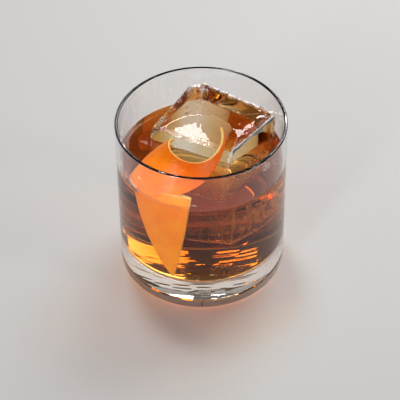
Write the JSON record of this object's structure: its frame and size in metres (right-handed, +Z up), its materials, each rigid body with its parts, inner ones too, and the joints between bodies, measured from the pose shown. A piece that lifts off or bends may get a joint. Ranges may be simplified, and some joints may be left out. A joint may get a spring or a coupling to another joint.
{
  "type": "rum old fashioned",
  "caption": "Rum old fashioned in a straight-sided rocks tumbler, with a large clear ice block and a twist of orange peel.",
  "frame": {"origin": "middle of the tumbler's underside, at the height of its foot", "axes": "+Z up along the tumbler's axis, -Y the front, where the ice's near edge and the peel's blade face"},
  "size_m": [0.084, 0.084, 0.089],
  "materials": {
    "clear_glass": "gloss",
    "amber_drink": "gloss",
    "clear_ice": "gloss",
    "orange_zest": "satin"
  },
  "bodies": {
    "root": {"tumbler": "clear_glass", "drink": "amber_drink", "ice_block": "clear_ice", "orange_peel": "orange_zest"}
  },
  "joints": []
}
